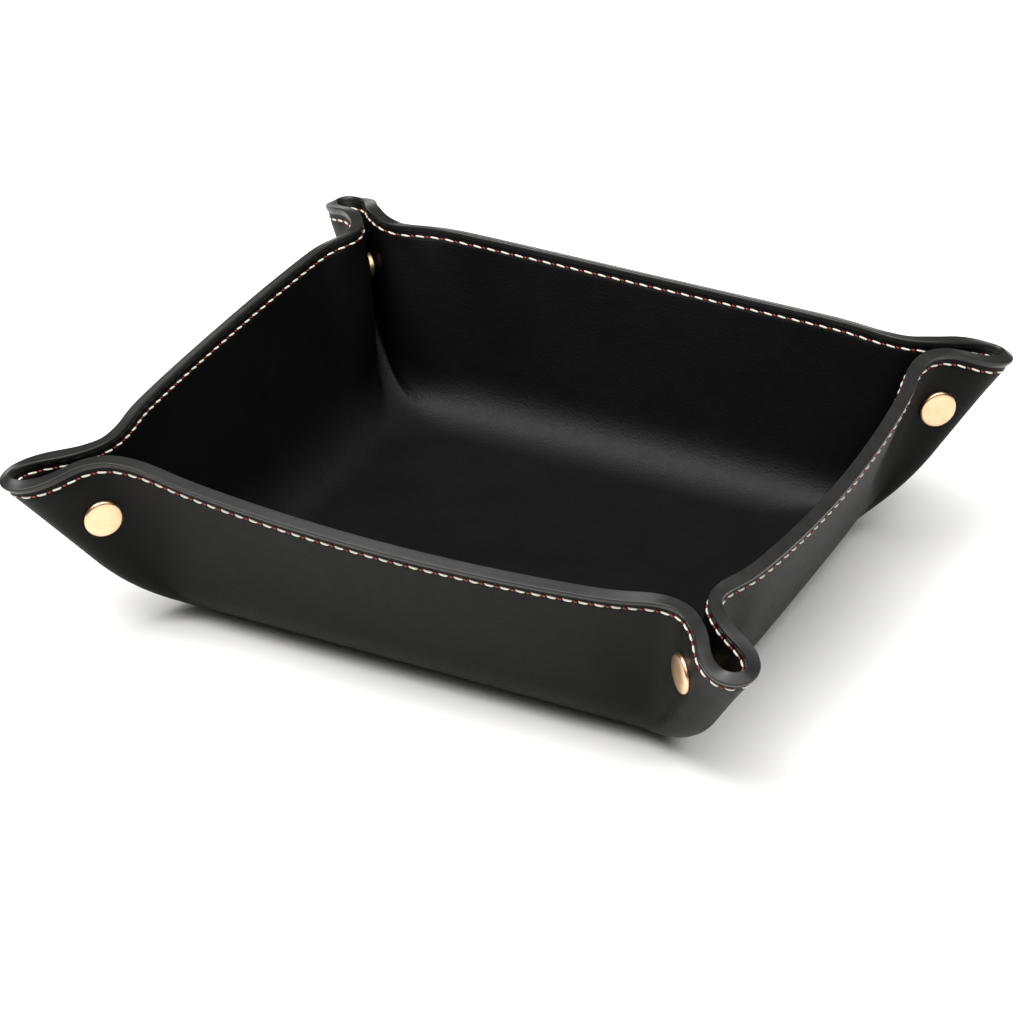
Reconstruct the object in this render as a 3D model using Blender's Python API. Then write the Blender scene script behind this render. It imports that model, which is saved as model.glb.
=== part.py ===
"""Valet tray of black leather, its four corners pinched into ears and held by press studs.

Frame: metres, +Z up, origin under the middle of the floor, front wall towards -Y.
Every panel is an outer leather and a lining; floor and walls hold a stiffener board between them.
The walls hinge on the floor folds, and each half of an ear hinges on its own wall.
"""
import math

import bmesh
import bpy
from mathutils import Matrix, Vector

MM = 0.001
UP = Vector((0, 0, 1))

# Driving dimensions
FLOOR_HALF_X = 63.5 * MM
FLOOR_HALF_Y = 52 * MM
FOLD_RADIUS = 12 * MM            # floor to wall, at the middle of the thickness
WALL_ANGLE = math.radians(75)    # above the floor
RIM_AT_MIDDLE = 51 * MM          # height of the rim above the table
RIM_AT_PINCH = 52.5 * MM
RIM_AT_TIP = 47 * MM
EAR_REACH = 37.5 * MM            # from the corner of the folds to the ear's end, in plan
EAR_SLOPE = math.radians(49)     # of the fold along the bottom of an ear
EAR_RADIUS = 3.1 * MM            # of that fold, which is half the spacing of the two halves
THICKNESS = 3.4 * MM
BOARD = 0.8 * MM
PLAY = 0.3 * MM                  # between layers
FOLD_GAP = math.radians(8)       # each side of a floor fold's middle
SEAM_GAP = 2.0 * MM              # each side of the seam between a wall and an ear
EAR_FOLD_END = math.radians(40)  # the two halves of an ear stop this far from its fold's middle
FLAT_APART = 1.0 * MM            # from the diagonal to each fold's middle, with the tray laid flat
EAR_LOW = 11 * MM                # the ears start this far above the floor's middle layer
EAR_FOLD_START = 0.42            # share of the ear's length where its fold starts
SNAP_REACH = 17.6 * MM
SNAP_HEIGHT = 36.3 * MM
CAP_RADIUS = 5.2 * MM
POST_RADIUS = 1.6 * MM
HOLE_RADIUS = 1.9 * MM
SNAP_PLAY = 0.2 * MM             # between a snap and the leather
CAP_HEIGHT = 1.45 * MM
FLANGE = 0.4 * MM                # thickness of the stud's flange and of the socket's floor
STUD_FLANGE_RADIUS = 3.4 * MM
STUD_NECK_RADIUS = 1.2 * MM
STUD_HEAD_RADIUS = 1.4 * MM
STUD_HEAD_DEPTH = 1.3 * MM
STUD_TIP_RADIUS = 1.0 * MM
SNAP_DEPTH = 1.8 * MM            # of the stud and of the socket
SOCKET_RADIUS = 3.9 * MM
SOCKET_LIP_RADIUS = 3.5 * MM
SOCKET_BORE_RADIUS = 2.5 * MM
SPRING_RADIUS = 2.0 * MM
SPRING_DEPTH = 1.1 * MM
WIRE_RADIUS = 0.2 * MM
WIRE_SIDES = 6
BOARD_EDGE = 2 * MM              # from a wall's edge to its board
ARC_STEPS = 4
ROUND = 20                       # sides of a turned piece

HALF = THICKNESS / 2
MIDDLE_Z = HALF
COT = 1 / math.tan(WALL_ANGLE)
FOLD_REACH = FOLD_RADIUS * math.tan(WALL_ANGLE / 2)
CORNER_X = FLOOR_HALF_X + FOLD_REACH
CORNER_Y = FLOOR_HALF_Y + FOLD_REACH

# Layers: distance from the middle of the thickness, positive towards the inside of the tray
LEATHER = (-HALF, -BOARD / 2 - PLAY)
LINING = (BOARD / 2 + PLAY, HALF)
STIFFENER = (-BOARD / 2, BOARD / 2)
EAR_LEATHER = (-HALF, -PLAY / 2)
EAR_LINING = (PLAY / 2, HALF)

# Each wall: outward direction, half distance to its corner line outward and along
WALLS = {
    "front": (Vector((0, -1, 0)), CORNER_Y, CORNER_X),
    "right": (Vector((1, 0, 0)), CORNER_X, CORNER_Y),
    "back": (Vector((0, 1, 0)), CORNER_Y, CORNER_X),
    "left": (Vector((-1, 0, 0)), CORNER_X, CORNER_Y),
}
# Each corner: the wall of its half a, then the wall of its half b
CORNERS = {
    "front_left": ("front", "left"),
    "front_right": ("front", "right"),
    "back_right": ("back", "right"),
    "back_left": ("back", "left"),
}

bodies = {}
hinges = {}


def material(name, colour, roughness, metallic=0.0):
    made = bpy.data.materials.new(name)
    made.use_nodes = True
    shader = made.node_tree.nodes["Principled BSDF"]
    shader.inputs["Base Color"].default_value = (*colour, 1)
    shader.inputs["Roughness"].default_value = roughness
    shader.inputs["Metallic"].default_value = metallic
    return made


def new_object(name, mesh_data, body, paint, smooth=True):
    """Makes the node of one piece, with its origin on its body's hinge."""
    origin = hinges[body]["pos"] if body in hinges else Vector((0, 0, 0))
    bmesh.ops.translate(mesh_data, verts=mesh_data.verts, vec=-origin)
    bmesh.ops.recalc_face_normals(mesh_data, faces=mesh_data.faces)
    mesh = bpy.data.meshes.new(name)
    mesh_data.to_mesh(mesh)
    mesh_data.free()
    mesh.materials.append(paint)
    if smooth:
        mesh.shade_smooth()
        mesh.set_sharp_from_angle(angle=math.radians(30))
    made = bpy.data.objects.new(name, mesh)
    made.location = origin
    bpy.context.collection.objects.link(made)
    bodies.setdefault(body, []).append(name)
    return made


def sheet(points, normals, faces, layer):
    """Thickens a surface: each point moves along its own normal to the layer's two depths."""
    mesh_data = bmesh.new()
    sides = []
    for depth in layer:
        sides.append([mesh_data.verts.new(p + n * depth) for p, n in zip(points, normals)])
    edges = {}
    for face in faces:
        for side in sides:
            mesh_data.faces.new([side[i] for i in face])
        for start, end in zip(face, face[1:] + face[:1]):
            edges[frozenset((start, end))] = edges.get(frozenset((start, end)), 0) + 1
    for edge, count in edges.items():
        if count == 1:
            start, end = edge
            low, high = sides
            mesh_data.faces.new((low[start], low[end], high[end], high[start]))
    return mesh_data


def grid_faces(rows, columns):
    faces = []
    for row in range(rows - 1):
        for column in range(columns - 1):
            first = row * columns + column
            faces.append([first, first + 1, first + 1 + columns, first + columns])
    return faces


def turned(profile, centre, axis):
    """Turns a closed outline of (radius, height) about the axis through the centre."""
    side = axis.orthogonal().normalized()
    other = axis.cross(side)
    mesh_data = bmesh.new()
    rings = []
    for radius, height in profile:
        base = centre + axis * height
        if radius == 0:
            rings.append([mesh_data.verts.new(base)])
            continue
        ring = []
        for step in range(ROUND):
            turn = 2 * math.pi * step / ROUND
            ring.append(mesh_data.verts.new(base + (side * math.cos(turn) + other * math.sin(turn)) * radius))
        rings.append(ring)
    pairs = list(zip(rings, rings[1:]))
    if profile[0][0] > 0:
        pairs.append((rings[-1], rings[0]))
    for first, second in pairs:
        for step in range(ROUND):
            after = (step + 1) % ROUND
            corners = [first[step % len(first)], first[after % len(first)]]
            corners += [second[after % len(second)], second[step % len(second)]]
            unique = list(dict.fromkeys(corners))
            mesh_data.faces.new(unique)
    return mesh_data


def fold_point(outward, distance, angle):
    """A point on the floor fold's arc, and the normal there, towards the inside of the tray."""
    centre = outward * distance + UP * (MIDDLE_Z + FOLD_RADIUS)
    inward = UP * math.cos(angle) - outward * math.sin(angle)
    return centre - inward * FOLD_RADIUS, inward


def wall_hinge(outward, distance):
    """The wall turns about the middle of its fold."""
    position, _ = fold_point(outward, distance, WALL_ANGLE / 2)
    return {"pos": position, "axis": UP.cross(outward), "angle": WALL_ANGLE, "parent": "base"}


def ear_frame(wall, towards):
    """Directions and places of the half ear that a wall carries at its end towards a neighbour."""
    outward, distance, half_length = WALLS[wall]
    along = WALLS[towards][0]
    diagonal = (outward + along).normalized()
    normal = (outward - along).normalized()
    corner = outward * distance + along * half_length + UP * MIDDLE_Z
    slope = diagonal * math.cos(EAR_SLOPE) + UP * math.sin(EAR_SLOPE)
    upward = UP * math.cos(EAR_SLOPE) - diagonal * math.sin(EAR_SLOPE)
    end = corner + diagonal * EAR_REACH + UP * (RIM_AT_TIP - MIDDLE_Z)
    return outward, along, diagonal, normal, corner, slope, upward, end


def seam_point(wall, towards, height):
    """Where the middle of the wall meets the middle of its half ear, at a height above the floor's."""
    outward, along, _, _, corner, _, _, _ = ear_frame(wall, towards)
    return corner + (outward + along) * height * COT - along * EAR_RADIUS * math.sqrt(2) + UP * height


def ear_hinge(wall, towards):
    """One turn that takes the half ear from its folded place to the flat sheet beside its open wall."""
    outward, along, diagonal, normal, corner, slope, upward, end = ear_frame(wall, towards)
    wall_turn = Matrix.Rotation(WALL_ANGLE, 3, UP.cross(outward))
    folded = Matrix((slope, normal, slope.cross(normal))).transposed()
    flat = Matrix((diagonal, -UP, diagonal.cross(-UP))).transposed()
    turn = flat @ folded.transposed()
    relative = wall_turn.transposed() @ turn
    axis, angle = relative.to_quaternion().to_axis_angle()
    wall_pos = hinges["wall_" + wall]["pos"]
    fold_line = end - upward * EAR_RADIUS

    def shift(reach):
        target = corner + diagonal * reach + normal * FLAT_APART + UP * EAR_RADIUS
        moved = target - turn @ fold_line
        return wall_turn.transposed() @ (moved - wall_pos) + wall_pos

    # The ear may slide along the flat diagonal: the reach is the one that leaves a pure turn
    start = shift(0)
    slide = shift(1) - start
    offset = start + slide * (-start.dot(axis) / slide.dot(axis))
    # The axis passes through the fixed point nearest the origin, moved along it to the corner
    across = offset / 2 + axis.cross(offset) / (2 * math.tan(angle / 2))
    position = across + axis * (corner - across).dot(axis)
    return {"pos": position, "axis": axis, "angle": angle, "parent": "wall_" + wall}


def make_floor(paints):
    points = []
    normals = []
    faces = []
    corners = [(-1, -1), (1, -1), (1, 1), (-1, 1)]
    for x, y in corners:
        points.append(Vector((x * FLOOR_HALF_X, y * FLOOR_HALF_Y, MIDDLE_Z)))
        normals.append(UP)
    faces.append([0, 1, 2, 3])
    floor_sides = (("front", 0, 1), ("right", 1, 2), ("back", 2, 3), ("left", 3, 0))
    for wall, first, second in floor_sides:
        outward, distance, _ = WALLS[wall]
        previous = [first, second]
        for step in range(1, ARC_STEPS + 1):
            angle = (WALL_ANGLE / 2 - FOLD_GAP) * step / ARC_STEPS
            row = []
            for corner in (first, second):
                place, normal = fold_point(outward, distance - FOLD_REACH, angle)
                along = points[corner] - outward * points[corner].dot(outward)
                along.z = 0
                row.append(len(points))
                points.append(place + along)
                normals.append(normal)
            faces.append([previous[0], previous[1], row[1], row[0]])
            previous = row
    new_object("floor_leather", sheet(points, normals, faces, LEATHER), "base", paints["leather"])
    new_object("floor_lining", sheet(points, normals, faces, LINING), "base", paints["lining"])
    board = points[:4]
    new_object("floor_board", sheet(board, normals[:4], faces[:1], STIFFENER), "base", paints["board"])


def wall_rows(wall, first_angle, steps, rim_drop, end_cut):
    """Rows of three points up a wall: its two ends and its middle."""
    outward, distance, half_length = WALLS[wall]
    along = UP.cross(outward)
    rows = []
    for step in range(steps + 1):
        angle = first_angle + (WALL_ANGLE - first_angle) * step / max(steps, 1)
        rows.append(fold_point(outward, distance - FOLD_REACH, angle))
    normal = rows[-1][1]
    points = []
    normals = []
    for place, row_normal in rows:
        height = place.z - MIDDLE_Z
        reach = half_length - EAR_RADIUS * math.sqrt(2) + height * COT - end_cut
        for share in (-1, 0, 1):
            points.append(place + along * reach * share)
            normals.append(row_normal)
    for share in (-1, 0, 1):
        rim = (RIM_AT_PINCH if share else RIM_AT_MIDDLE) - rim_drop
        height = rim - MIDDLE_Z
        reach = half_length - EAR_RADIUS * math.sqrt(2) + height * COT - end_cut
        points.append(outward * (distance + height * COT) + along * reach * share + UP * rim)
        normals.append(normal)
    return points, normals, grid_faces(len(rows) + 1, 3)


def make_wall(wall, paints):
    body = "wall_" + wall
    low = WALL_ANGLE / 2 + FOLD_GAP
    points, normals, faces = wall_rows(wall, low, ARC_STEPS, 0, SEAM_GAP)
    new_object(body + "_leather", sheet(points, normals, faces, LEATHER), body, paints["leather"])
    new_object(body + "_lining", sheet(points, normals, faces, LINING), body, paints["lining"])
    points, normals, faces = wall_rows(wall, WALL_ANGLE, 0, BOARD_EDGE, SEAM_GAP + BOARD_EDGE)
    new_object(body + "_board", sheet(points, normals, faces, STIFFENER), body, paints["board"])


def ear_rows(wall, towards):
    """Rows of two points across a half ear, from its seam to the end of its fold."""
    _, _, _, normal, corner, slope, upward, end = ear_frame(wall, towards)
    seam_low = seam_point(wall, towards, EAR_LOW)
    seam_high = seam_point(wall, towards, RIM_AT_PINCH - MIDDLE_Z)
    seam = (seam_high - seam_low).normalized()
    outwards = (end - seam_low - seam * (end - seam_low).dot(seam))
    outwards -= normal * outwards.dot(normal)
    outwards.normalize()
    points = [seam_low + outwards * SEAM_GAP, seam_high + outwards * SEAM_GAP]
    normals = [-normal, -normal]
    length = (RIM_AT_TIP - MIDDLE_Z) / math.sin(EAR_SLOPE)
    start = end - slope * length * (1 - EAR_FOLD_START)
    for step in range(ARC_STEPS + 1):
        angle = math.radians(90) + (EAR_FOLD_END - math.radians(90)) * step / ARC_STEPS
        around = normal * math.sin(angle) - upward * math.cos(angle)
        low = start + around * EAR_RADIUS
        high = end + around * EAR_RADIUS
        points.append(low)
        points.append(high + slope * (end.z - high.z) / slope.z)
        normals += [-around, -around]
    return points, normals, grid_faces(len(points) // 2, 2)


def snap_place(wall, towards):
    _, _, diagonal, normal, corner, _, _, _ = ear_frame(wall, towards)
    place = corner + diagonal * SNAP_REACH + normal * EAR_RADIUS
    place.z = SNAP_HEIGHT
    return place, normal


def make_ear_half(corner, half, paints):
    wall, towards = CORNERS[corner] if half == "a" else reversed(CORNERS[corner])
    body = "ear_" + corner + "_" + half
    points, normals, faces = ear_rows(wall, towards)
    place, normal = snap_place(wall, towards)
    cutter_data = turned([(0, -2 * HALF), (HOLE_RADIUS, -2 * HALF), (HOLE_RADIUS, 2 * HALF), (0, 2 * HALF)],
                         place, normal)
    cutter = new_object(body + "_hole", cutter_data, body, paints["brass"], smooth=False)
    bodies[body].remove(cutter.name)
    cutter.hide_render = True
    cutter.display_type = "WIRE"
    for layer, depths in (("leather", EAR_LEATHER), ("lining", EAR_LINING)):
        piece = new_object(body + "_" + layer, sheet(points, normals, faces, depths), body, paints[layer])
        cut = piece.modifiers.new("post_hole", "BOOLEAN")
        cut.operation = "DIFFERENCE"
        cut.object = cutter
    make_snap_half(corner, half, place, normal, body, paints)


def make_snap_half(corner, half, place, normal, body, paints):
    under_cap = HALF + SNAP_PLAY
    cap = [
        (0, under_cap + CAP_HEIGHT),
        (CAP_RADIUS * 0.6, under_cap + CAP_HEIGHT * 0.97),
        (CAP_RADIUS * 0.88, under_cap + CAP_HEIGHT * 0.83),
        (CAP_RADIUS, under_cap + CAP_HEIGHT * 0.52),
        (CAP_RADIUS, under_cap + CAP_HEIGHT * 0.21),
        (CAP_RADIUS * 0.94, under_cap),
        (POST_RADIUS, under_cap),
        (POST_RADIUS, -HALF),
        (0, -HALF),
    ]
    new_object("snap_" + corner + "_cap_" + half, turned(cap, place, normal), body, paints["brass"])
    base = -HALF - SNAP_PLAY
    if half == "b":
        stud = [
            (0, base),
            (STUD_FLANGE_RADIUS, base),
            (STUD_FLANGE_RADIUS, base - FLANGE),
            (STUD_NECK_RADIUS, base - FLANGE),
            (STUD_HEAD_RADIUS, base - STUD_HEAD_DEPTH),
            (STUD_TIP_RADIUS, base - SNAP_DEPTH),
            (0, base - SNAP_DEPTH),
        ]
        new_object("snap_" + corner + "_stud", turned(stud, place, normal), body, paints["brass"])
        return
    socket = [
        (0, base),
        (SOCKET_RADIUS, base),
        (SOCKET_RADIUS, base - SNAP_DEPTH * 0.83),
        (SOCKET_LIP_RADIUS, base - SNAP_DEPTH),
        (SOCKET_BORE_RADIUS, base - SNAP_DEPTH),
        (SOCKET_BORE_RADIUS, base - FLANGE),
        (0, base - FLANGE),
    ]
    new_object("snap_" + corner + "_socket", turned(socket, place, normal), body, paints["brass"])
    spring = []
    for step in range(WIRE_SIDES):
        angle = 2 * math.pi * step / WIRE_SIDES
        spring.append((SPRING_RADIUS + WIRE_RADIUS * math.cos(angle),
                       base - SPRING_DEPTH + WIRE_RADIUS * math.sin(angle)))
    new_object("snap_" + corner + "_spring", turned(spring, place, normal), body, paints["steel"])


def make_tray():
    for old in list(bpy.data.objects):
        bpy.data.objects.remove(old, do_unlink=True)
    paints = {
        "leather": material("leather", (0.018, 0.017, 0.017), 0.5),
        "lining": material("lining", (0.012, 0.012, 0.012), 0.45),
        "board": material("board", (0.35, 0.27, 0.19), 0.8),
        "brass": material("brass", (0.85, 0.6, 0.38), 0.3, 1.0),
        "steel": material("steel", (0.6, 0.6, 0.6), 0.35, 1.0),
    }
    for wall, (outward, distance, _) in WALLS.items():
        hinges["wall_" + wall] = wall_hinge(outward, distance - FOLD_REACH)
    for corner, (first, second) in CORNERS.items():
        hinges["ear_" + corner + "_a"] = ear_hinge(first, second)
        hinges["ear_" + corner + "_b"] = ear_hinge(second, first)
    make_floor(paints)
    for wall in WALLS:
        make_wall(wall, paints)
    for corner in CORNERS:
        for half in ("a", "b"):
            make_ear_half(corner, half, paints)


make_tray()
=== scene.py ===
"""Looks of the black leather valet tray: bowed walls, pinched ears, painted edge, two-tone stitching, snaps.

All lengths are in metres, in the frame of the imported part. The tray's surface is one formula, the middle of
the leather's thickness: for a place along a wall and a height it gives a point. Panels are cut from it.
"""
import math

import bpy
import numpy as np
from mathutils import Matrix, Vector


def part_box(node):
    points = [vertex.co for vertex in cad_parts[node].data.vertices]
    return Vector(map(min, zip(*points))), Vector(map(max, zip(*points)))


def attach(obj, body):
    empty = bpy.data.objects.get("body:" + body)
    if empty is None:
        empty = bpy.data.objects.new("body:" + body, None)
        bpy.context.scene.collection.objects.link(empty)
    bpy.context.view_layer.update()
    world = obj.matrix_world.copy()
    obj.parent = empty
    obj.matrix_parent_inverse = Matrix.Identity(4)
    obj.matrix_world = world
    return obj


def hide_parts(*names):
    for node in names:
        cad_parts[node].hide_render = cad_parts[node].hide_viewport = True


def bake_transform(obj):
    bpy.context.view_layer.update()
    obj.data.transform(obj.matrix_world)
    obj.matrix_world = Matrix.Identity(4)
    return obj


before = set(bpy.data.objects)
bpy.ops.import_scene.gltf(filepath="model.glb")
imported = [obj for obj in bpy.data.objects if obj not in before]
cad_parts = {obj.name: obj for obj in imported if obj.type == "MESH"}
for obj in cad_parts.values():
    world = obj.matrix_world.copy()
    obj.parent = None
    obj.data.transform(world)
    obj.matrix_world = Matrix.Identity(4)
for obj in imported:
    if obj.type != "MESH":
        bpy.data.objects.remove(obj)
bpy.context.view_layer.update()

MM = 0.001
UP = np.array([0.0, 0.0, 1.0])

# Sizes read from the frame
BOARD_LOW, BOARD_HIGH = (np.array(corner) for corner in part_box("floor_board"))
FLOOR_HALF = {"x": BOARD_HIGH[0], "y": BOARD_HIGH[1]}
MIDDLE_Z = (BOARD_LOW[2] + BOARD_HIGH[2]) / 2
HALF = MIDDLE_Z                                # half the leather's thickness
BOARD_HALF = (BOARD_HIGH[2] - BOARD_LOW[2]) / 2

# Shape of the leather
WALL_ANGLE = math.radians(75)
WALL_COT = 1 / math.tan(WALL_ANGLE)
PLATE_FOLD_RADIUS = 12 * MM                    # of the gap that the plain plates leave for a fold
FOLD_RADIUS = 18 * MM                          # of the leather's own fold, about the same corner
FOLD_REACH = FOLD_RADIUS * math.tan(WALL_ANGLE / 2)
FOLD_TOP = FOLD_RADIUS * (1 - math.cos(WALL_ANGLE))
CORNER = {side: half + PLATE_FOLD_RADIUS * math.tan(WALL_ANGLE / 2) for side, half in FLOOR_HALF.items()}
RIM_AT_MIDDLE = 51 * MM
RIM_AT_PINCH = 53 * MM
BOW = 5 * MM                                   # how far a wall bulges outwards at its rim
TIP_REACH = 41.0 * MM                          # from the corner of the folds to the end of an ear, at TIP_RIM
TIP_RIM = 47.5 * MM
TIP_SLOPE = 0.87                               # how much shorter the ear gets for each unit lower down
TIP_CURVE_RADIUS = 60 * MM                     # of the curve from the floor up into the ear's lower edge
EAR_RADIUS = 3.1 * MM                          # from the middle of an ear to the middle of its leather
# Along an ear from its root to its end: steps inwards from its tip, and half its width there
EAR_STEPS = [37.2 * MM, 31.2 * MM, 25.7 * MM, 19.7 * MM, 13.7 * MM, 7.7 * MM, 1.7 * MM]
EAR_HALF_WIDTHS = [EAR_RADIUS, EAR_RADIUS, EAR_RADIUS, 3.3 * MM, 5.0 * MM, 6.0 * MM, 4.6 * MM]
LAST_SHARE = 0.8                               # share of the wall's line that the last of these keeps
EAR_PAST_TIP = 0.9 * MM                        # how far the last control point lies past the ear's tip
BULGING_WIDTH = 3.5 * MM                       # an ear wider than this opens towards its rim
LOW_BULGE = 0.62                               # share of that width at and below the snap
LOW_SPREAD = 0.45                              # share of the steps at the floor
SOFTNESS = 1.5 * MM                            # of the bend between a wall and its ear
SNAP_LEVEL = 34 * MM                           # height of the snaps above the floor's middle
PULL_PLACE = 9.7 * MM                          # where a snap pulls most, inwards from the corner of the walls
PULL_WIDTH = 7 * MM                            # how far that pull spreads
WALL_SHARES = (0, 0.27, 0.51, 0.72, 0.88)      # control points along a wall, from its middle to its ear

# Leather sets unevenly: how far each snap pulls the walls' ends inwards, the rim's height at the ear's end,
# and how much shorter the ear is than its full reach
SET_OF_CORNER = {
    "front_left": (1.2 * MM, 49.3 * MM, 1.0 * MM),
    "front_right": (3.0 * MM, 49.3 * MM, 0.0),
    "back_right": (1.5 * MM, 47.0 * MM, 0.8 * MM),
    "back_left": (4.2 * MM, 46.8 * MM, 0.0),
}

# Grid of the surface
WALL_COLUMNS = 26
EAR_COLUMNS = 44
SPLIT = 4.5                                    # place where a wall ends and its ear begins, in control points
PINCH_PLACE = 5.5                              # where the rim is highest
FALL_PLACE = 6.2                               # where it begins to fall towards the ear's end
LAST_PLACE = 12
FOLD_ROWS = 10
SIDE_ROWS = 14
EAR_ROW = 8                                    # the first row that belongs to an ear, above those of the wall
# The edge's section in millimetres: distance down from the rim, and from the middle of the thickness
EDGE = [
    (5.0, 1.70), (3.9, 1.70), (3.5, 1.66), (3.15, 1.56), (2.85, 1.50), (2.45, 1.50), (2.0, 1.48), (1.6, 1.48),
    (1.25, 1.58), (0.95, 1.74), (0.6, 1.80), (0.3, 1.76), (0.1, 1.62), (0.0, 1.42), (0.04, 1.2), (0.1, 0.9),
    (0.1, 0.0),
]
EDGE_START = FOLD_ROWS + SIDE_ROWS
PAINTED_START = EDGE_START + 7                 # the first row with paint on it
STITCH_ROW = EDGE_START + 4                    # in the groove under the paint
ROWS = EDGE_START + len(EDGE)
PLACES = np.concatenate([np.linspace(0, SPLIT, WALL_COLUMNS + 1),
                         np.linspace(SPLIT, LAST_PLACE, EAR_COLUMNS + 1)[1:]])
WALL_CELLS = 2 * (len(PLACES) - 1)             # cells in a row, over a wall and its two half ears
CREASE = math.radians(40)                      # edges sharper than this are shaded as edges

# Stitches: for each colour the start and length of a stitch in pitches, and its thread's radius
STITCH_PITCH = 4.15 * MM
FIRST_STITCH = 0.16                            # where the first one starts, in pitches
THREADS = {
    "cream": (0.0, 0.68, 0.29 * MM),
    "burgundy": (0.7, 0.28, 0.24 * MM),
}
PAIR_MIDDLE = 0.37                             # a pair of stitches belongs to the body under this point
STITCH_RINGS = 7
STITCH_SIDES = 8
STITCH_LEAN = 0.12 * MM                        # sideways, from a stitch's middle to its end
TANGENT_STEP = 0.3 * MM                        # to either side, to find the seam's direction

# Snap parts
CAP_RADIUS = 5.2 * MM
CAP_HEIGHT = 1.55 * MM
CAP_GAP = 0.15 * MM                            # between a cap and the leather
POST_RADIUS = 1.6 * MM
SNAP_GAP = 0.2 * MM                            # between socket or stud and the lining
SPRING_RADIUS = 2.0 * MM
SPRING_DEPTH = 1.1 * MM
WIRE_RADIUS = 0.2 * MM
# Outlines of the turned ones as (radius, height) in millimetres, the base at 0 and the working end below it
STUD = [(0, 0), (3.1, 0), (3.4, -0.12), (3.4, -0.3), (3.25, -0.4), (1.5, -0.4), (1.2, -0.55), (1.2, -0.8),
        (1.4, -1.1), (1.4, -1.4), (1.2, -1.7), (0.9, -1.8), (0, -1.8)]
SOCKET = [(0, 0), (3.6, 0), (3.9, -0.25), (3.9, -1.3), (3.7, -1.65), (3.3, -1.8), (2.7, -1.8), (2.5, -1.65),
          (2.5, -0.4), (0, -0.4)]

# For each wall: outwards, the axes across and along it, and its neighbours at the two ends
WALLS = {
    "front": {"outward": np.array([0.0, -1.0, 0.0]), "across": "y", "lengthwise": "x",
              "low": "left", "high": "right"},
    "right": {"outward": np.array([1.0, 0.0, 0.0]), "across": "x", "lengthwise": "y",
              "low": "front", "high": "back"},
    "back": {"outward": np.array([0.0, 1.0, 0.0]), "across": "y", "lengthwise": "x",
             "low": "right", "high": "left"},
    "left": {"outward": np.array([-1.0, 0.0, 0.0]), "across": "x", "lengthwise": "y",
             "low": "back", "high": "front"},
}


def corner_of(wall, neighbour):
    """Name of the corner between two walls, such as front_left."""
    return "_".join(sorted((wall, neighbour), key=("front", "back", "left", "right").index))


def ear_name(wall, neighbour):
    """The body of the half ear that belongs to a wall, at its neighbour's end."""
    half = "a" if wall in ("front", "back") else "b"
    return "ear_" + corner_of(wall, neighbour) + "_" + half


def owner_of(wall, region):
    """The body that a region of a wall's grid moves with: the wall, or the ear at its low or high end."""
    return "wall_" + wall if region == "wall" else ear_name(wall, WALLS[wall][region])


def smooth(value):
    """Eases from 0 to 1 as the value goes from 0 to 1."""
    value = np.clip(value, 0, 1)
    return value * value * (3 - 2 * value)


def soft_max(first, second, softness):
    """The larger of two values, with the bend between them rounded."""
    return (first + second + np.sqrt((first - second) ** 2 + softness ** 2)) / 2


# ---------------------------------------------------------------- the surface

def wall_reach(height):
    """How far the wall stands outside the corner of the folds, at a height above the floor's middle."""
    lean = np.arccos(np.clip(1 - height / FOLD_RADIUS, math.cos(WALL_ANGLE), 1))
    on_fold = FOLD_RADIUS * np.sin(lean) - FOLD_REACH
    return np.where(height < FOLD_TOP, on_fold, height * WALL_COT)


def tip_reach(height):
    """The same along the diagonal, for the lower edge of the ear: a wide curve, then a straight slope."""
    rim = TIP_RIM - MIDDLE_Z
    slope = math.atan(1 / TIP_SLOPE)
    curve_top = TIP_CURVE_RADIUS * (1 - math.cos(slope))
    start = TIP_REACH - (rim - curve_top) * TIP_SLOPE - TIP_CURVE_RADIUS * math.sin(slope)
    lean = np.arccos(np.clip(1 - height / TIP_CURVE_RADIUS, math.cos(slope), 1))
    on_curve = start + TIP_CURVE_RADIUS * np.sin(lean)
    return np.where(height < curve_top, on_curve, TIP_REACH - (rim - height) * TIP_SLOPE)


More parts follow.
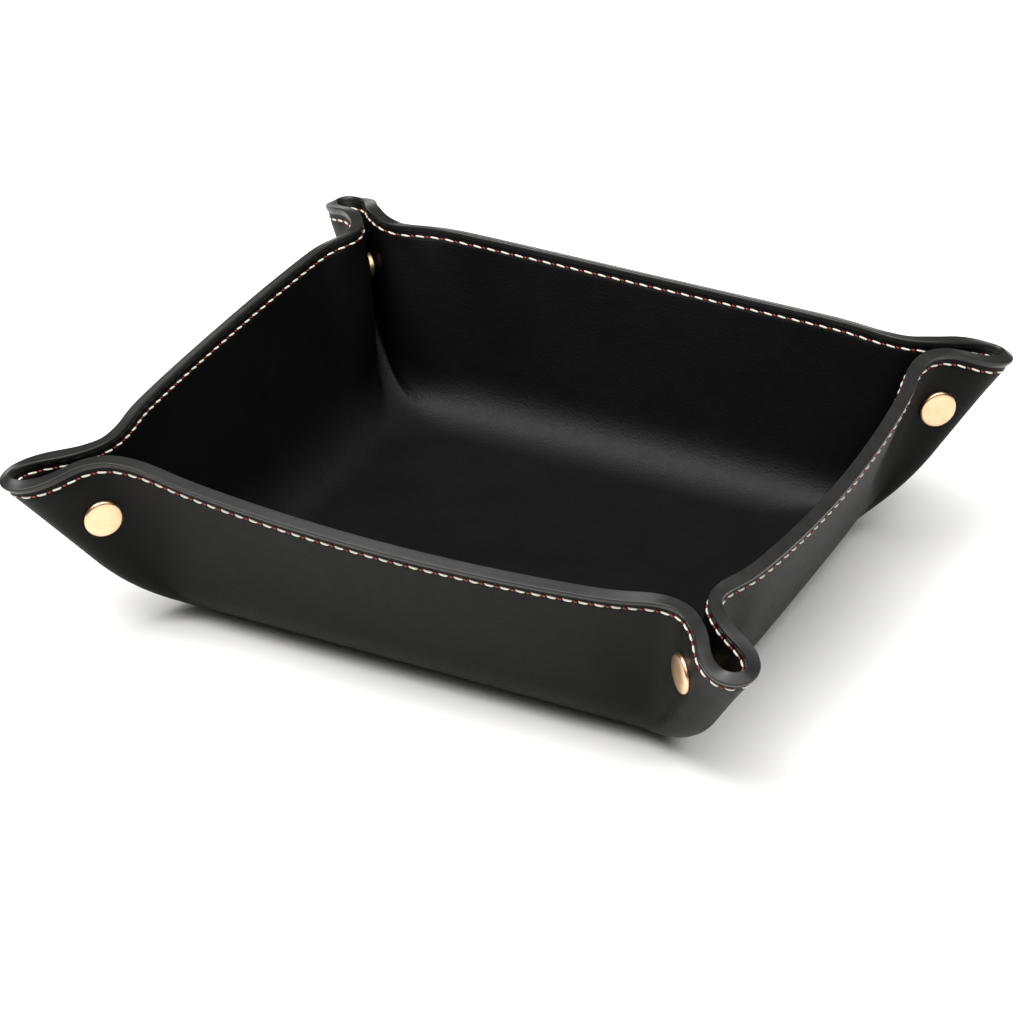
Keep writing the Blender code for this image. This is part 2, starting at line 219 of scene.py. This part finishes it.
def control_points(height, half_length, snap_pull, shorter):
    """Thirteen control points in plan for each height, as (outward, along) from the corner of the folds.

    Point 0 is at the wall's middle, 6 to 7 at the pinch and 12 at the ear's end.
    """
    rise = np.clip(height / (RIM_AT_MIDDLE - MIDDLE_Z), 0, 1.1)
    reach = wall_reach(height)
    tip = tip_reach(height) - shorter
    corner = reach * math.sqrt(2)
    spread = LOW_SPREAD + (1 - LOW_SPREAD) * smooth(rise)
    above_snap = smooth((height - SNAP_LEVEL) / (RIM_AT_PINCH - MIDDLE_Z - SNAP_LEVEL))
    bulge = LOW_BULGE + (1 - LOW_BULGE) * above_snap
    bow = BOW * rise ** 1.3
    ear_points = []
    for step, width in zip(EAR_STEPS, EAR_HALF_WIDTHS):
        across = tip - spread * step
        pull = snap_pull * smooth(rise * 1.4) * np.exp(-((across - corner + PULL_PLACE) / PULL_WIDTH) ** 2)
        share = np.clip(1 + (across * math.sqrt(2) - reach) / half_length, 0, 1)
        wall_line = (reach - pull + bow * (1 - share ** 2)) * math.sqrt(2) - across
        if step == EAR_STEPS[-1]:
            wall_line = wall_line * LAST_SHARE
        ear_width = width * bulge if width > BULGING_WIDTH else width
        beside = soft_max(wall_line, ear_width, SOFTNESS)
        ear_points.append(((across + beside) / math.sqrt(2), (across - beside) / math.sqrt(2)))
    ear_points.append(((tip + EAR_PAST_TIP * spread) / math.sqrt(2),) * 2)
    ear_root = ear_points[0][1]
    wall_points = []
    for share in WALL_SHARES:
        along = -half_length + (ear_root + half_length) * share
        middle_share = share * (1 + ear_root / half_length)
        wall_points.append((reach + bow * (1 - middle_share ** 2), along))
    return np.array([np.stack(np.broadcast_arrays(*point), axis=-1) for point in wall_points + ear_points])


def spline(points, place):
    """The uniform cubic B-spline of 13 control points, mirrored at the wall's middle and the ear's end."""
    before = points[1].copy()
    before[..., 1] = 2 * points[0][..., 1] - before[..., 1]
    after = points[11][..., ::-1]
    padded = np.concatenate([before[None], points, after[None], points[10][None][..., ::-1]])
    index = min(int(place), LAST_PLACE)
    t = place - index
    weights = ((1 - t) ** 3, 3 * t ** 3 - 6 * t ** 2 + 4, -3 * t ** 3 + 3 * t ** 2 + 3 * t + 1, t ** 3)
    return sum(w * padded[index + k] for k, w in enumerate(weights)) / 6


def rim_height(place, tip_rim):
    """Height of the rim at a place along the wall: lowest at its middle, highest at the pinch."""
    to_pinch = RIM_AT_MIDDLE + (RIM_AT_PINCH - RIM_AT_MIDDLE) * smooth(place / PINCH_PLACE)
    return to_pinch - (RIM_AT_PINCH - tip_rim) * smooth((place - FALL_PLACE) / (LAST_PLACE - FALL_PLACE))


def row_heights(rim):
    """Heights of all rows above the floor's middle: the fold, the side up to the edge, then the edge."""
    heights = [FOLD_RADIUS * (1 - math.cos(WALL_ANGLE * k / FOLD_ROWS)) for k in range(FOLD_ROWS + 1)]
    top = rim - MIDDLE_Z - EDGE[0][0] * MM
    heights += [FOLD_TOP + (top - FOLD_TOP) * k / SIDE_ROWS for k in range(1, SIDE_ROWS)]
    heights += [rim - MIDDLE_Z - down * MM for down, _ in EDGE]
    return heights


def half_grid(half_length, snap_pull, tip_rim, shorter):
    """Points (rows, columns, 3) as (outward, along, up) from the corner of the folds."""
    grid = np.zeros((ROWS, len(PLACES), 3))
    for column, place in enumerate(PLACES):
        heights = np.array(row_heights(rim_height(place, tip_rim)))
        grid[:, column, :2] = spline(control_points(heights, half_length, snap_pull, shorter), place)
        grid[:, column, 2] = heights
    return grid


def wall_grid(wall):
    """The middle surface of a wall from one ear's end to the other's, in world coordinates."""
    shape = WALLS[wall]
    outward = shape["outward"]
    along = np.cross(UP, outward)
    corner_out = CORNER[shape["across"]]
    corner_along = CORNER[shape["lengthwise"]]
    sides = []
    for sign, end in ((-1, "low"), (1, "high")):
        half = half_grid(corner_along, *SET_OF_CORNER[corner_of(wall, shape[end])])
        side = (outward * (corner_out + half[..., :1]) + along * sign * (corner_along + half[..., 1:2])
                + UP * (MIDDLE_Z + half[..., 2:]))
        sides.append(side)
    return np.concatenate([sides[0][:, :0:-1], sides[1]], axis=1)


def mirrored(points, wall, sign):
    """The grid's neighbour column past an ear's end, where the next wall's half ear begins."""
    shape = WALLS[wall]
    outward = shape["outward"]
    along = np.cross(UP, outward) * sign
    normal = (outward - along) / math.sqrt(2)
    corner = outward * CORNER[shape["across"]] + along * CORNER[shape["lengthwise"]]
    return points - 2 * ((points - corner) @ normal)[:, None] * normal


def grid_normals(grid, wall, row, towards):
    """Unit normals of a grid, on the side where the middle one of a row points towards a direction."""
    before = mirrored(grid[:, 1], wall, -1)[:, None]
    after = mirrored(grid[:, -2], wall, 1)[:, None]
    wide = np.concatenate([before, grid, after], axis=1)
    along = wide[:, 2:] - wide[:, :-2]
    upward = np.gradient(grid, axis=0)
    normals = np.cross(upward, along)
    normals /= np.maximum(np.linalg.norm(normals, axis=2, keepdims=True), 1e-12)
    if normals[row, grid.shape[1] // 2] @ towards < 0:
        normals = -normals
    return normals


def layers(wall):
    """Middle, outer face and inner face of a wall's whole grid."""
    middle = wall_grid(wall)
    normals = grid_normals(middle, wall, EDGE_START // 2, -WALLS[wall]["outward"])
    normals[0] = UP
    depth = np.full(ROWS, HALF)
    depth[EDGE_START:] = [value * MM for _, value in EDGE]
    outer = middle - normals * depth[:, None, None]
    inner = middle + normals * depth[:, None, None]
    return middle, outer, inner


def shaded_layers(wall):
    """The layers by name, with the normals of both faces, which meet in one direction at the rim's crest."""
    middle, outer, inner = layers(wall)
    down_out = WALLS[wall]["outward"] * 0.5 - UP
    outer_normals = grid_normals(outer, wall, FOLD_ROWS // 2, down_out)
    inner_normals = grid_normals(inner, wall, FOLD_ROWS // 2, -down_out)
    outer_normals[0] = -UP
    inner_normals[0] = UP
    crest = outer_normals[-2] + inner_normals[-2]
    crest /= np.linalg.norm(crest, axis=1, keepdims=True)
    outer_normals[-1] = crest
    inner_normals[-1] = crest
    return {"middle": middle, "outer": outer, "inner": inner,
            "outer_normals": outer_normals, "inner_normals": inner_normals}


# ---------------------------------------------------------------- meshes

def add_mesh(name, points, faces, materials, face_slots=None, normals=None):
    mesh = bpy.data.meshes.new(name)
    mesh.from_pydata([tuple(point) for point in points], [], faces)
    for paint in materials:
        mesh.materials.append(paint)
    if face_slots is not None:
        mesh.polygons.foreach_set("material_index", face_slots)
    mesh.shade_smooth()
    mesh.validate()
    if normals is not None:
        mesh.normals_split_custom_set(normals)
    made = bpy.data.objects.new(name, mesh)
    bpy.context.collection.objects.link(made)
    return made


def add_creased_mesh(name, points, faces, paint):
    """A mesh with sharp edges where its faces meet at more than the crease angle."""
    made = add_mesh(name, points, faces, [paint])
    made.data.set_sharp_from_angle(angle=CREASE)
    return made


def panel(name, face, middle, face_normals, cells, materials, flip):
    """A closed sheet between a face grid and the middle grid, over the cells (row, column) that it covers.

    The rim's last row belongs to both, so that the sheet closes there in half of the rounded edge.
    """
    top = ROWS - 1
    used = {}
    points = []
    normal_of = []
    base = middle.copy()
    for row in range(EDGE_START, ROWS):
        share = (row - EDGE_START) / (ROWS - EDGE_START)
        base[row] = middle[EDGE_START] * (1 - share) + middle[top] * share

    def vertex(kind, row, column):
        kind = "face" if row == top else kind
        key = (kind, row, column)
        if key not in used:
            used[key] = len(points)
            points.append(face[row, column] if kind == "face" else base[row, column])
            normal_of.append(face_normals[row, column] if kind == "face" else None)
        return used[key]

    faces = []
    slots = []
    corner_normals = []

    def add(corners, slot, smooth_normals):
        order = corners[::-1] if flip else corners
        faces.append([vertex(*corner) for corner in order])
        slots.append(slot)
        if smooth_normals:
            corner_normals.extend(tuple(normal_of[i]) for i in faces[-1])
        else:
            first, second, third = (np.array(points[i]) for i in faces[-1][:3])
            flat = np.cross(second - first, third - second)
            size = np.linalg.norm(flat)
            flat = flat / size if size > 0 else UP
            corner_normals.extend([tuple(flat)] * len(faces[-1]))

    edges = {}
    for row, column in cells:
        square = [(row, column), (row, column + 1), (row + 1, column + 1), (row + 1, column)]
        add([("face", *place) for place in square], 1 if row >= PAINTED_START else 0, True)
        add([("base", *place) for place in square[::-1]], 0, False)
        for start, end in zip(square, square[1:] + square[:1]):
            if (end, start) in edges:
                del edges[(end, start)]
            else:
                edges[(start, end)] = True
    for start, end in edges:
        if start[0] == end[0] == top:
            continue
        corners = [("face", *end), ("face", *start), ("base", *start), ("base", *end)]
        if start[0] == top:
            corners.pop(2)
        elif end[0] == top:
            corners.pop(3)
        add(corners, 0, False)
    return add_mesh(name, points, faces, materials, slots, corner_normals)


def sheet_faces(rows, columns):
    """Faces of a closed sheet whose points are two grids of rows and columns, the lower one first."""
    block = rows * columns
    faces = []
    for row in range(rows - 1):
        for column in range(columns - 1):
            corner = row * columns + column
            square = [corner, corner + 1, corner + columns + 1, corner + columns]
            faces.append(square)
            faces.append([block + i for i in square[::-1]])
    rim = list(range(columns))
    rim += [row * columns + columns - 1 for row in range(1, rows)]
    rim += [(rows - 1) * columns + column for column in range(columns - 2, -1, -1)]
    rim += [row * columns for row in range(rows - 2, 0, -1)]
    for start, end in zip(rim, rim[1:] + rim[:1]):
        faces.append([end, start, block + start, block + end])
    return faces


def turned(name, profile, centre, axis, paint, sides=56):
    """Turns an outline of (radius, height) about an axis, as one closed mesh."""
    axis = Vector(axis).normalized()
    side = axis.orthogonal().normalized()
    other = axis.cross(side)
    points = []
    rings = []
    for radius, height in profile:
        base = Vector(centre) + axis * height
        if radius == 0:
            rings.append([len(points)])
            points.append(tuple(base))
            continue
        ring = []
        for step in range(sides):
            turn = 2 * math.pi * step / sides
            ring.append(len(points))
            points.append(tuple(base + (side * math.cos(turn) + other * math.sin(turn)) * radius))
        rings.append(ring)
    pairs = list(zip(rings, rings[1:]))
    if profile[0][0] > 0:
        pairs.append((rings[-1], rings[0]))
    faces = []
    for first, second in pairs:
        for step in range(sides):
            after = (step + 1) % sides
            corners = [first[step % len(first)], second[step % len(second)]]
            corners += [second[after % len(second)], first[after % len(first)]]
            faces.append(list(dict.fromkeys(corners)))
    return add_creased_mesh(name, points, faces, paint)


# ---------------------------------------------------------------- materials
# Noise scales are in waves to a metre, bump distances in metres.

def new_material(name):
    """A material with its nodes, links and shader."""
    made = bpy.data.materials.new(name)
    made.use_nodes = True
    return made, made.node_tree.nodes, made.node_tree.links, made.node_tree.nodes["Principled BSDF"]


def noise(nodes, links, coordinates, scale, detail=2.0, fineness=0.5):
    made = nodes.new("ShaderNodeTexNoise")
    made.inputs["Scale"].default_value = scale
    made.inputs["Detail"].default_value = detail
    made.inputs["Roughness"].default_value = fineness
    links.new(coordinates, made.inputs["Vector"])
    return made.outputs["Fac"]


def ramp(nodes, links, value, low, high, low_colour, high_colour):
    made = nodes.new("ShaderNodeValToRGB")
    made.color_ramp.elements[0].position = low
    made.color_ramp.elements[1].position = high
    made.color_ramp.elements[0].color = (*low_colour, 1)
    made.color_ramp.elements[1].color = (*high_colour, 1)
    links.new(value, made.inputs["Fac"])
    return made.outputs["Color"]


def roughness(nodes, links, value, low, high, shader):
    """Gloss that varies with a value, between two roughnesses."""
    made = nodes.new("ShaderNodeMapRange")
    made.inputs["To Min"].default_value = low
    made.inputs["To Max"].default_value = high
    links.new(value, made.inputs["Value"])
    links.new(made.outputs["Result"], shader.inputs["Roughness"])


def bump(nodes, links, height, strength, distance, under=None):
    made = nodes.new("ShaderNodeBump")
    made.inputs["Strength"].default_value = strength
    made.inputs["Distance"].default_value = distance
    links.new(height, made.inputs["Height"])
    if under is not None:
        links.new(under, made.inputs["Normal"])
    return made.outputs["Normal"]


def leather_material(name, dark, light, rough_low, rough_high, shine):
    """Fine pebbled grain: cells for the pebbles, a slow mottle in colour and gloss, and hair-fine pores."""
    made, nodes, links, shader = new_material(name)
    place = nodes.new("ShaderNodeTexCoord").outputs["Object"]
    cells = nodes.new("ShaderNodeTexVoronoi")
    cells.feature = "SMOOTH_F1"
    cells.inputs["Scale"].default_value = 1500
    cells.inputs["Smoothness"].default_value = 0.6
    warp = nodes.new("ShaderNodeVectorMath")
    warp.operation = "MULTIPLY_ADD"
    drift = nodes.new("ShaderNodeTexNoise")
    drift.inputs["Scale"].default_value = 420
    links.new(place, drift.inputs["Vector"])
    links.new(drift.outputs["Color"], warp.inputs[0])
    warp.inputs[1].default_value = (0.0007, 0.0007, 0.0007)
    links.new(place, warp.inputs[2])
    links.new(warp.outputs["Vector"], cells.inputs["Vector"])
    pores = noise(nodes, links, place, 2600, 3.0, 0.6)
    slow = noise(nodes, links, place, 55, 3.0, 0.55)
    links.new(ramp(nodes, links, slow, 0.3, 0.7, dark, light), shader.inputs["Base Color"])
    roughness(nodes, links, noise(nodes, links, place, 300, 4.0, 0.6), rough_low, rough_high, shader)
    pebbles = bump(nodes, links, cells.outputs["Distance"], 0.35, 0.00012)
    links.new(bump(nodes, links, pores, 0.18, 0.00006, pebbles), shader.inputs["Normal"])
    shader.inputs["Specular IOR Level"].default_value = shine
    return made


def edge_material():
    """Painted edge: smoother and a little glossier than the leather, with faint brush waves."""
    made, nodes, links, shader = new_material("painted_edge")
    place = nodes.new("ShaderNodeTexCoord").outputs["Object"]
    slow = noise(nodes, links, place, 160, 2.0)
    links.new(ramp(nodes, links, slow, 0.3, 0.7, (0.014, 0.0137, 0.0134), (0.02, 0.0195, 0.019)),
              shader.inputs["Base Color"])
    roughness(nodes, links, noise(nodes, links, place, 500, 3.0), 0.27, 0.38, shader)
    links.new(bump(nodes, links, noise(nodes, links, place, 900, 2.0), 0.12, 0.0001), shader.inputs["Normal"])
    shader.inputs["Specular IOR Level"].default_value = 0.3
    return made


def thread_material(name, dark, light):
    """Twisted, waxed thread: plies as fine waves, uneven dye."""
    made, nodes, links, shader = new_material(name)
    place = nodes.new("ShaderNodeTexCoord").outputs["Object"]
    slow = noise(nodes, links, place, 900, 3.0)
    links.new(ramp(nodes, links, slow, 0.3, 0.7, dark, light), shader.inputs["Base Color"])
    roughness(nodes, links, noise(nodes, links, place, 3000, 2.0), 0.45, 0.7, shader)
    plies = nodes.new("ShaderNodeTexWave")
    plies.inputs["Scale"].default_value = 900
    plies.inputs["Distortion"].default_value = 2.0
    links.new(place, plies.inputs["Vector"])
    links.new(bump(nodes, links, plies.outputs["Fac"], 0.5, 0.00008), shader.inputs["Normal"])
    return made


def brass_material(name, dark, light, rough_low, rough_high):
    """Satin plated metal: brushed streaks and faint tarnish."""
    made, nodes, links, shader = new_material(name)
    place = nodes.new("ShaderNodeTexCoord").outputs["Object"]
    slow = noise(nodes, links, place, 260, 4.0, 0.6)
    links.new(ramp(nodes, links, slow, 0.25, 0.75, dark, light), shader.inputs["Base Color"])
    shader.inputs["Metallic"].default_value = 1.0
    roughness(nodes, links, noise(nodes, links, place, 1200, 4.0), rough_low, rough_high, shader)
    brushing = noise(nodes, links, place, 5000, 2.0)
    links.new(bump(nodes, links, brushing, 0.08, 0.00004), shader.inputs["Normal"])
    return made


def board_material():
    """Pressed leather fibres."""
    made, nodes, links, shader = new_material("leatherboard")
    place = nodes.new("ShaderNodeTexCoord").outputs["Object"]
    fibres = noise(nodes, links, place, 700, 5.0, 0.7)
    links.new(ramp(nodes, links, fibres, 0.3, 0.7, (0.22, 0.15, 0.09), (0.36, 0.27, 0.18)),
              shader.inputs["Base Color"])
    shader.inputs["Roughness"].default_value = 0.85
    links.new(bump(nodes, links, fibres, 0.4, 0.0002), shader.inputs["Normal"])
    return made


def floor_material():
    """Matt, near white, with a hardly visible mottle."""
    made, nodes, links, shader = new_material("pale_floor")
    place = nodes.new("ShaderNodeTexCoord").outputs["Object"]
    slow = noise(nodes, links, place, 3, 2.0)
    links.new(ramp(nodes, links, slow, 0.3, 0.7, (0.93, 0.925, 0.9), (0.95, 0.945, 0.92)),
              shader.inputs["Base Color"])
    shader.inputs["Roughness"].default_value = 0.9
    shader.inputs["Specular IOR Level"].default_value = 0.1
    return made


PAINTS = {
    "leather": leather_material("black_leather", (0.0022, 0.0021, 0.002), (0.0038, 0.0036, 0.0034),
                                0.44, 0.58, 0.085),
    # The lining is a real second sheet of the same black leather; its colour, darker than the outer
    # leather's, is painted shade of the tray's inside.
    "lining": leather_material("black_lining_painted_shade", (0.0014, 0.0013, 0.0013), (0.0026, 0.0025, 0.0025),
                               0.4, 0.54, 0.14),
    "edge": edge_material(),
    "cream": thread_material("cream_thread", (0.62, 0.56, 0.47), (0.74, 0.69, 0.61)),
    "burgundy": thread_material("burgundy_thread", (0.17, 0.014, 0.016), (0.3, 0.03, 0.032)),
    "cap": brass_material("rose_brass", (0.7, 0.44, 0.26), (0.85, 0.58, 0.37), 0.24, 0.36),
    "snap": brass_material("plain_brass", (0.55, 0.38, 0.2), (0.75, 0.56, 0.33), 0.3, 0.42),
    "steel": brass_material("spring_steel", (0.4, 0.4, 0.4), (0.62, 0.62, 0.62), 0.25, 0.4),
    "board": board_material(),
}


# ---------------------------------------------------------------- pieces

def fold_blend(piece):
    """Bakes the piece's transform into its mesh; nothing blends it along the fold between the floor and the
    wall.
    """
    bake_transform(piece)


def ear_blend(piece, wall, neighbour):
    """Works out the seam between wall and ear and a direction across it, tilted so that the ear's low end
    would stay near the wall's fold; neither is used, and the piece's transform is only baked.
    """
    shape = WALLS[wall]
    outward = shape["outward"]
    along = WALLS[neighbour]["outward"]
    seam = outward * WALL_COT + along * WALL_COT + UP
    seam /= np.linalg.norm(seam)
    across = along + (outward + along) / math.sqrt(2)
    across -= seam * (across @ seam)
    across /= np.linalg.norm(across)
    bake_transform(piece)


def bind(piece, wall, region):
    """Bakes a piece's transform, through the function for the fold between floor and wall or for the seam
    between wall and ear; neither makes it bend.
    """
    if region == "wall":
        fold_blend(piece)
    else:
        ear_blend(piece, wall, WALLS[wall][region])


def cells_of(region):
    """Grid cells of a wall, or of the half ear at its low or high end."""
    found = []
    for row in range(ROWS - 1):
        for column in range(WALL_CELLS):
            owner = "wall" if row < EAR_ROW else region_of(column)
            if owner == region:
                found.append((row, column))
    return found


def region_of(column):
    """Whether a column of cells belongs to the wall or to the ear at one of its ends."""
    if column < EAR_COLUMNS:
        return "low"
    return "high" if column >= WALL_CELLS - EAR_COLUMNS else "wall"


def make_floor():
    """The flat of the floor, inside the line where the folds begin: rings that shrink to its middle."""
    outline = []
    for wall in WALLS:
        outline.extend(wall_grid(wall)[0][:-1])
    outline = np.array(outline)
    shares = (1, 0.9, 0.72, 0.5, 0.25)
    count = len(outline)
    block = len(shares) * count + 1
    for name, depth in (("leather", -HALF), ("lining", HALF)):
        points = []
        for level in (depth, 0):
            for share in shares:
                points.extend(point * (share, share, 1) + UP * level for point in outline)
            points.append(UP * (MIDDLE_Z + level))
        faces = []
        for layer in (0, 1):
            start = layer * block
            level_faces = []
            for ring in range(len(shares) - 1):
                outer = start + ring * count
                inner = outer + count
                for i in range(count):
                    j = (i + 1) % count
                    level_faces.append([outer + i, outer + j, inner + j, inner + i])
            last = start + (len(shares) - 1) * count
            for i in range(count):
                level_faces.append([last + i, last + (i + 1) % count, start + block - 1])
            if (layer == 0) == (depth < 0):
                level_faces = [corners[::-1] for corners in level_faces]
            faces.extend(level_faces)
        for i in range(count):
            j = (i + 1) % count
            side = [i, j, block + j, block + i]
            faces.append(side if depth < 0 else side[::-1])
        made = add_creased_mesh("floor_" + name + "_skin", points, faces, PAINTS[name])
        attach(made, "base")
        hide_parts("floor_" + name)


def make_panels():
    """Outer leather and lining of every wall and half ear."""
    for wall, grid in GRIDS.items():
        for region in ("wall", "low", "high"):
            owner = owner_of(wall, region)
            cells = cells_of(region)
            for name, side in (("leather", "outer"), ("lining", "inner")):
                paints = [PAINTS[name], PAINTS["edge"]]
                piece = panel(owner + "_" + name + "_skin", grid[side], grid["middle"],
                              grid[side + "_normals"], cells, paints, name == "lining")
                bind(piece, wall, region)
                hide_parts(owner + "_" + name)


def make_boards():
    """Stiffeners between the leathers of each wall, bowed with them."""
    first = EAR_COLUMNS + 2
    last = WALL_CELLS - EAR_COLUMNS - 2
    rows = range(FOLD_ROWS + 1, EDGE_START - 1)
    for wall, grid in GRIDS.items():
        middle = grid["middle"][:, first:last + 1]
        inward = (middle - grid["outer"][:, first:last + 1]) / HALF
        points = []
        for side in (-1, 1):
            for row in rows:
                points.extend(middle[row] + inward[row] * side * BOARD_HALF)
        faces = sheet_faces(len(rows), last - first + 1)
        board = add_creased_mesh("wall_" + wall + "_board_skin", points, faces, PAINTS["board"])
        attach(board, "wall_" + wall)
        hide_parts("wall_" + wall + "_board")


def stitch_mesh(path, normals, lengths, start, length, radius, points, faces):
    """Adds one stitch: a capsule that follows the path, its ends dipping into the leather."""
    def along_path(values, at):
        return np.array([np.interp(at, lengths, values[:, axis]) for axis in range(3)])

    first = len(points)
    for ring in range(STITCH_RINGS):
        share = ring / (STITCH_RINGS - 1)
        at = start + length * share
        place = along_path(path, at)
        normal = along_path(normals, at)
        tangent = along_path(path, at + TANGENT_STEP) - along_path(path, at - TANGENT_STEP)
        tangent /= np.linalg.norm(tangent)
        normal -= tangent * (normal @ tangent)
        normal /= np.linalg.norm(normal)
        across = np.cross(tangent, normal)
        from_middle = 2 * share - 1
        swell = math.sqrt(max(0.06, 1 - from_middle ** 4))
        lift = radius * (0.55 - 1.1 * from_middle ** 4)
        centre = place + normal * lift + across * STITCH_LEAN * from_middle
        for side in range(STITCH_SIDES):
            turn = 2 * math.pi * side / STITCH_SIDES
            offset = across * math.cos(turn) + normal * math.sin(turn)
            points.append(centre + offset * radius * swell)
    for ring in range(STITCH_RINGS - 1):
        for side in range(STITCH_SIDES):
            here = first + ring * STITCH_SIDES + side
            after = first + ring * STITCH_SIDES + (side + 1) % STITCH_SIDES
            faces.append([here, after, after + STITCH_SIDES, here + STITCH_SIDES])
    last = first + (STITCH_RINGS - 1) * STITCH_SIDES
    faces.append([first + side for side in range(STITCH_SIDES)][::-1])
    faces.append([last + side for side in range(STITCH_SIDES)])


def make_threads():
    """Lockstitch in two colours on both faces: long cream stitches with short burgundy ones between."""
    for wall, grid in GRIDS.items():
        buckets = {}
        for side in ("outer", "inner"):
            path = grid[side][STITCH_ROW]
            normals = grid[side + "_normals"][STITCH_ROW]
            lengths = np.concatenate([[0], np.cumsum(np.linalg.norm(np.diff(path, axis=0), axis=1))])
            count = round(lengths[-1] / STITCH_PITCH)
            pitch = lengths[-1] / count
            for number in range(count):
                begin = pitch * (number + FIRST_STITCH)
                column = np.interp(begin + pitch * PAIR_MIDDLE, lengths, np.arange(len(lengths)))
                region = region_of(column)
                for colour, (offset, share, radius) in THREADS.items():
                    if begin + pitch * (offset + share) > lengths[-1]:
                        continue
                    points, faces = buckets.setdefault((region, colour), ([], []))
                    stitch_mesh(path, normals, lengths, begin + pitch * offset, pitch * share, radius,
                                points, faces)
        for (region, colour), (points, faces) in buckets.items():
            name = "thread_" + owner_of(wall, region) + "_" + colour
            piece = add_mesh(name, points, faces, [PAINTS[colour]])
            bind(piece, wall, region)


def arc_profile(radius, height, corner, steps=5):
    """Quarter-round from the side of a disc to its top."""
    found = []
    for step in range(steps + 1):
        angle = math.radians(90) * step / steps
        found.append((radius - corner * (1 - math.cos(angle)), height - corner * (1 - math.sin(angle))))
    return found


def cap_profile():
    """Flat face, rounded bevel, drawn-in foot and post."""
    under = HALF + CAP_GAP
    top = under + CAP_HEIGHT
    profile = [(0, top), (CAP_RADIUS * 0.5, top - 0.02 * MM), (CAP_RADIUS - 0.95 * MM, top - 0.06 * MM)]
    profile += reversed(arc_profile(CAP_RADIUS, top - 0.1 * MM, 0.8 * MM))
    profile += [(CAP_RADIUS, under + 0.25 * MM), (CAP_RADIUS - 0.12 * MM, under + 0.07 * MM),
                (CAP_RADIUS - 0.4 * MM, under), (POST_RADIUS, under), (POST_RADIUS, -HALF), (0, -HALF)]
    return profile


def add_snap_part(node, profile, origin, direction, paint, body):
    """A turned piece in the place of a plain one."""
    made = turned(node + "_detail", profile, origin, direction, PAINTS[paint])
    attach(made, body)
    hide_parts(node)


def make_snaps():
    """Detailed snap parts in the place of the plain ones, on the same axes."""
    base = -HALF - SNAP_GAP
    stud = [(radius * MM, base + height * MM) for radius, height in STUD]
    socket = [(radius * MM, base + height * MM) for radius, height in SOCKET]
    wire = []
    for step in range(12):
        turn = math.radians(30 * step)
        wire.append((SPRING_RADIUS + WIRE_RADIUS * math.cos(turn),
                     base - SPRING_DEPTH + WIRE_RADIUS * math.sin(turn)))
    for corner in SET_OF_CORNER:
        name = "snap_" + corner
        middles = {}
        for half in ("a", "b"):
            low, high = (np.array(point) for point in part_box(name + "_cap_" + half))
            middles[half] = (low + high) / 2
        axis = middles["a"] - middles["b"]
        axis /= np.linalg.norm(axis)
        centre = (middles["a"] + middles["b"]) / 2
        for half, direction in (("a", axis), ("b", -axis)):
            body = "ear_" + corner + "_" + half
            origin = centre + direction * EAR_RADIUS
            add_snap_part(name + "_cap_" + half, cap_profile(), origin, direction, "cap", body)
            if half == "a":
                add_snap_part(name + "_socket", socket, origin, direction, "snap", body)
                add_snap_part(name + "_spring", wire, origin, direction, "steel", body)
            else:
                add_snap_part(name + "_stud", stud, origin, direction, "snap", body)


def paint_floor_board():
    """The floor's stiffener keeps its CAD shape, sealed between the leathers."""
    board = bpy.data.objects["floor_board"]
    board.data.materials.clear()
    board.data.materials.append(PAINTS["board"])


def make_stage():
    """A plain floor, a hair below the tray's underside."""
    half = 6.0
    mesh = bpy.data.meshes.new("studio_floor")
    corners = [(-half, -half, 0), (half, -half, 0), (half, half, 0), (-half, half, 0)]
    mesh.from_pydata(corners, [], [(0, 1, 2, 3)])
    mesh.materials.append(floor_material())
    made = bpy.data.objects.new("studio_floor", mesh)
    made.location.z = -0.2 * MM
    bpy.context.collection.objects.link(made)


def aim(thing, target):
    """Turns a light or camera to look at a point."""
    direction = Vector(target) - thing.location
    thing.rotation_euler = direction.to_track_quat("-Z", "Y").to_euler()


def make_lights():
    """A softbox from the left front, which draws the highlight on the fold, and a larger one overhead."""
    lights = (
        ("left", (-0.57, -0.50, 1.28), 0.9, 20),
        ("overhead", (0.3, -0.2, 1.5), 2.2, 48),
    )
    for name, place, size, power in lights:
        data = bpy.data.lights.new(name, "AREA")
        data.size = size
        data.energy = power
        made = bpy.data.objects.new(name, data)
        made.location = place
        bpy.context.collection.objects.link(made)
        aim(made, (0, 0, 0.02))
    world = bpy.data.worlds.new("studio")
    world.use_nodes = True
    world.node_tree.nodes["Background"].inputs["Color"].default_value = (1.0, 0.995, 0.975, 1)
    world.node_tree.nodes["Background"].inputs["Strength"].default_value = 0.08
    bpy.context.scene.world = world
    bpy.context.scene.view_settings.view_transform = "Standard"


def make_camera():
    """At the photo's angle: to the right of the front, and above."""
    azimuth = math.radians(26.4)
    elevation = math.radians(31.2)
    distance = 1.196
    back = Vector((math.sin(azimuth) * math.cos(elevation), -math.cos(azimuth) * math.cos(elevation),
                   math.sin(elevation)))
    right = Vector((math.cos(azimuth), math.sin(azimuth), 0))
    upward = back.cross(right)
    target = right * -2.7 * MM + upward * 15.4 * MM
    data = bpy.data.cameras.new("camera")
    data.lens = 157.8
    data.sensor_width = 36
    data.clip_start = 0.01
    made = bpy.data.objects.new("camera", data)
    made.location = target + back * distance
    bpy.context.collection.objects.link(made)
    aim(made, target)
    bpy.context.scene.camera = made


make_camera()
make_lights()
make_stage()
make_floor()
GRIDS = {wall: shaded_layers(wall) for wall in WALLS}
make_panels()
make_boards()
make_threads()
make_snaps()
paint_floor_board()
